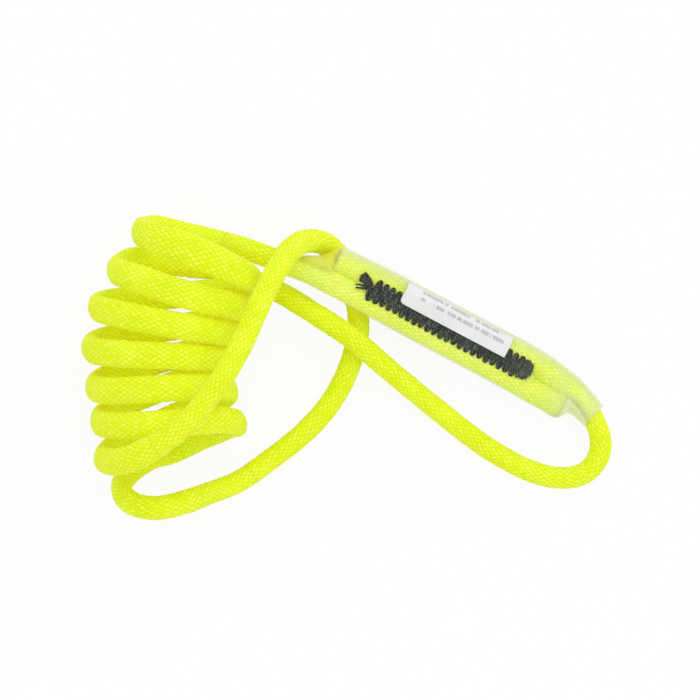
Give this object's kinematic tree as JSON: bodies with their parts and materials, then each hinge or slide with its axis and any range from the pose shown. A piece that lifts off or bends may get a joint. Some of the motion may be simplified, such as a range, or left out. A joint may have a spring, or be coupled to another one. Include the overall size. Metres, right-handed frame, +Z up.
{
  "type": "sewn prusik loop",
  "caption": "Closed loop of braided yellow accessory cord, its ends sewn side by side and held in a clear shrunk sleeve, lying wound up as for a friction hitch.",
  "frame": {"origin": "on the table under the middle of the whole part's box", "axes": "+X towards the sleeve's far end, +Y across the table away from the windings' last turn, +Z up from the table"},
  "size_m": [0.1364, 0.0762, 0.0472],
  "materials": {
    "cord_sheath": "fluorescent yellow braided polyamide",
    "cord_core": "off-white twisted polyamide strands",
    "fused_tip": "cord melted by a hot cut",
    "stitch_thread": "black sewing thread",
    "label_sheet": "white printed label",
    "clear_sleeve": "clear shrunk tube, slightly milky"
  },
  "bodies": {
    "root": {"sheath_short_lead": "cord_sheath", "core_short_lead": "cord_core", "sheath_winding_one": "cord_sheath", "core_winding_one": "cord_core", "sheath_bight": "cord_sheath", "core_bight": "cord_core", "sheath_winding_two": "cord_sheath", "core_winding_two": "cord_core", "sheath_long_lead": "cord_sheath", "core_long_lead": "cord_core", "sheath_splice_lower": "cord_sheath", "core_splice_lower": "cord_core", "sheath_splice_upper": "cord_sheath", "core_splice_upper": "cord_core", "fused_tip_lower": "fused_tip", "fused_tip_upper": "fused_tip", "needle_thread": "stitch_thread", "bobbin_thread": "stitch_thread", "label": "label_sheet", "clear_sleeve": "clear_sleeve"}
  },
  "joints": []
}
